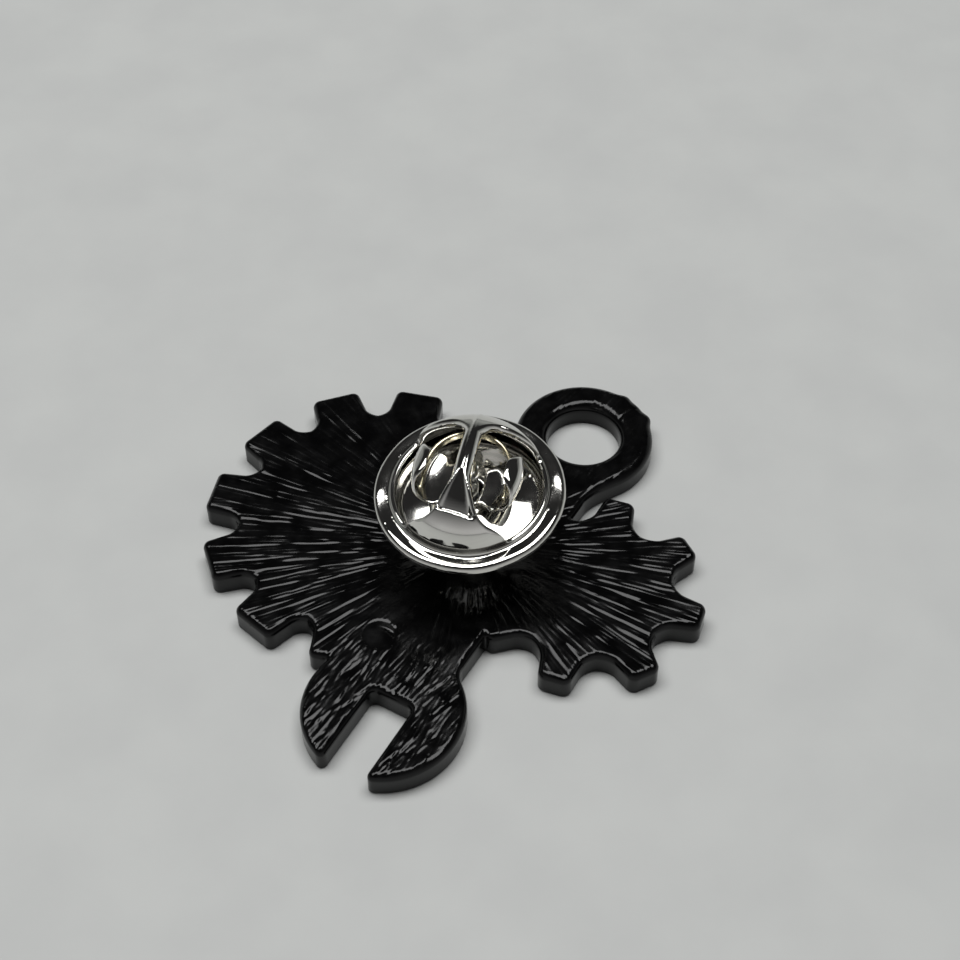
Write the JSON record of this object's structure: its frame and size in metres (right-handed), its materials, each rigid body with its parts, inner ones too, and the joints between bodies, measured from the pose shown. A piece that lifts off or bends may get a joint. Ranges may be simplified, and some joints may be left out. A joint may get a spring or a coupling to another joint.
{
  "type": "enamel pin",
  "caption": "Lapel pin of overlapping gears and an open-ended wrench, black metal with enamel cells, a nail post behind and a squeeze-to-release butterfly clutch.",
  "frame": {"origin": "under the middle of the whole object's box, on the surface that the front face rests on", "axes": "+Z out of the pin's back along the post; +X across the pin from the large gear to the small one; +Y towards the wrench's ring"},
  "size_m": [0.0292, 0.0288, 0.0098],
  "materials": {
    "black_plating": "glossy black plating over a brushed casting",
    "enamel_blue": "glossy soft enamel",
    "enamel_cream": "glossy soft enamel",
    "enamel_orange": "glossy soft enamel",
    "enamel_grey": "glossy soft enamel",
    "post_steel": "nickel-plated wire",
    "solder": "dull solder",
    "nickel": "bright nickel plate",
    "spring_brass": "bright brass strip"
  },
  "bodies": {
    "pin": {"base_plate": "black_plating", "large_gear_enamel": "enamel_blue", "large_gear_hub_enamel": "enamel_cream", "small_gear_enamel": "enamel_orange", "small_gear_hub_enamel": "enamel_cream", "wrench_ring_enamel": "enamel_grey", "wrench_handle_enamel": "enamel_grey", "wrench_jaw_enamel": "enamel_grey", "pin_post": "post_steel", "post_solder": "solder"},
    "clutch_base": {"clutch_base_disc": "nickel"},
    "clutch": {"clutch_cap": "nickel", "clutch_spring": "spring_brass"},
    "left_wing": {"clutch_left_wing": "nickel"},
    "right_wing": {"clutch_right_wing": "nickel"}
  },
  "joints": [
    {"name": "clutch_slide", "type": "slide", "parent": "pin", "child": "clutch_base", "axis": [0, 0, 1], "range_m": [0, 0.006]},
    {"name": "clutch_spin", "type": "hinge", "parent": "clutch_base", "child": "clutch", "pos_m": [0.00117, 0.00148, 0.00623], "axis": [-0.0576, -0.0853, 0.9947], "continuous": true},
    {"name": "left_wing_squeeze", "type": "hinge", "parent": "clutch", "child": "left_wing", "pos_m": [-0.00107, 0.0018, 0.00784], "axis": [0.2076, 0.9736, 0.0955], "range_deg": [0, 12], "stiffness_Nm_per_rad": 0.0001},
    {"name": "right_wing_squeeze", "type": "hinge", "parent": "clutch", "child": "right_wing", "pos_m": [0.00322, 0.00087, 0.008], "axis": [-0.2076, -0.9736, -0.0955], "range_deg": [0, 12], "stiffness_Nm_per_rad": 0.0001}
  ],
  "couplings": [
    {"joint": "right_wing_squeeze", "follows": "left_wing_squeeze", "ratio": 1}
  ]
}
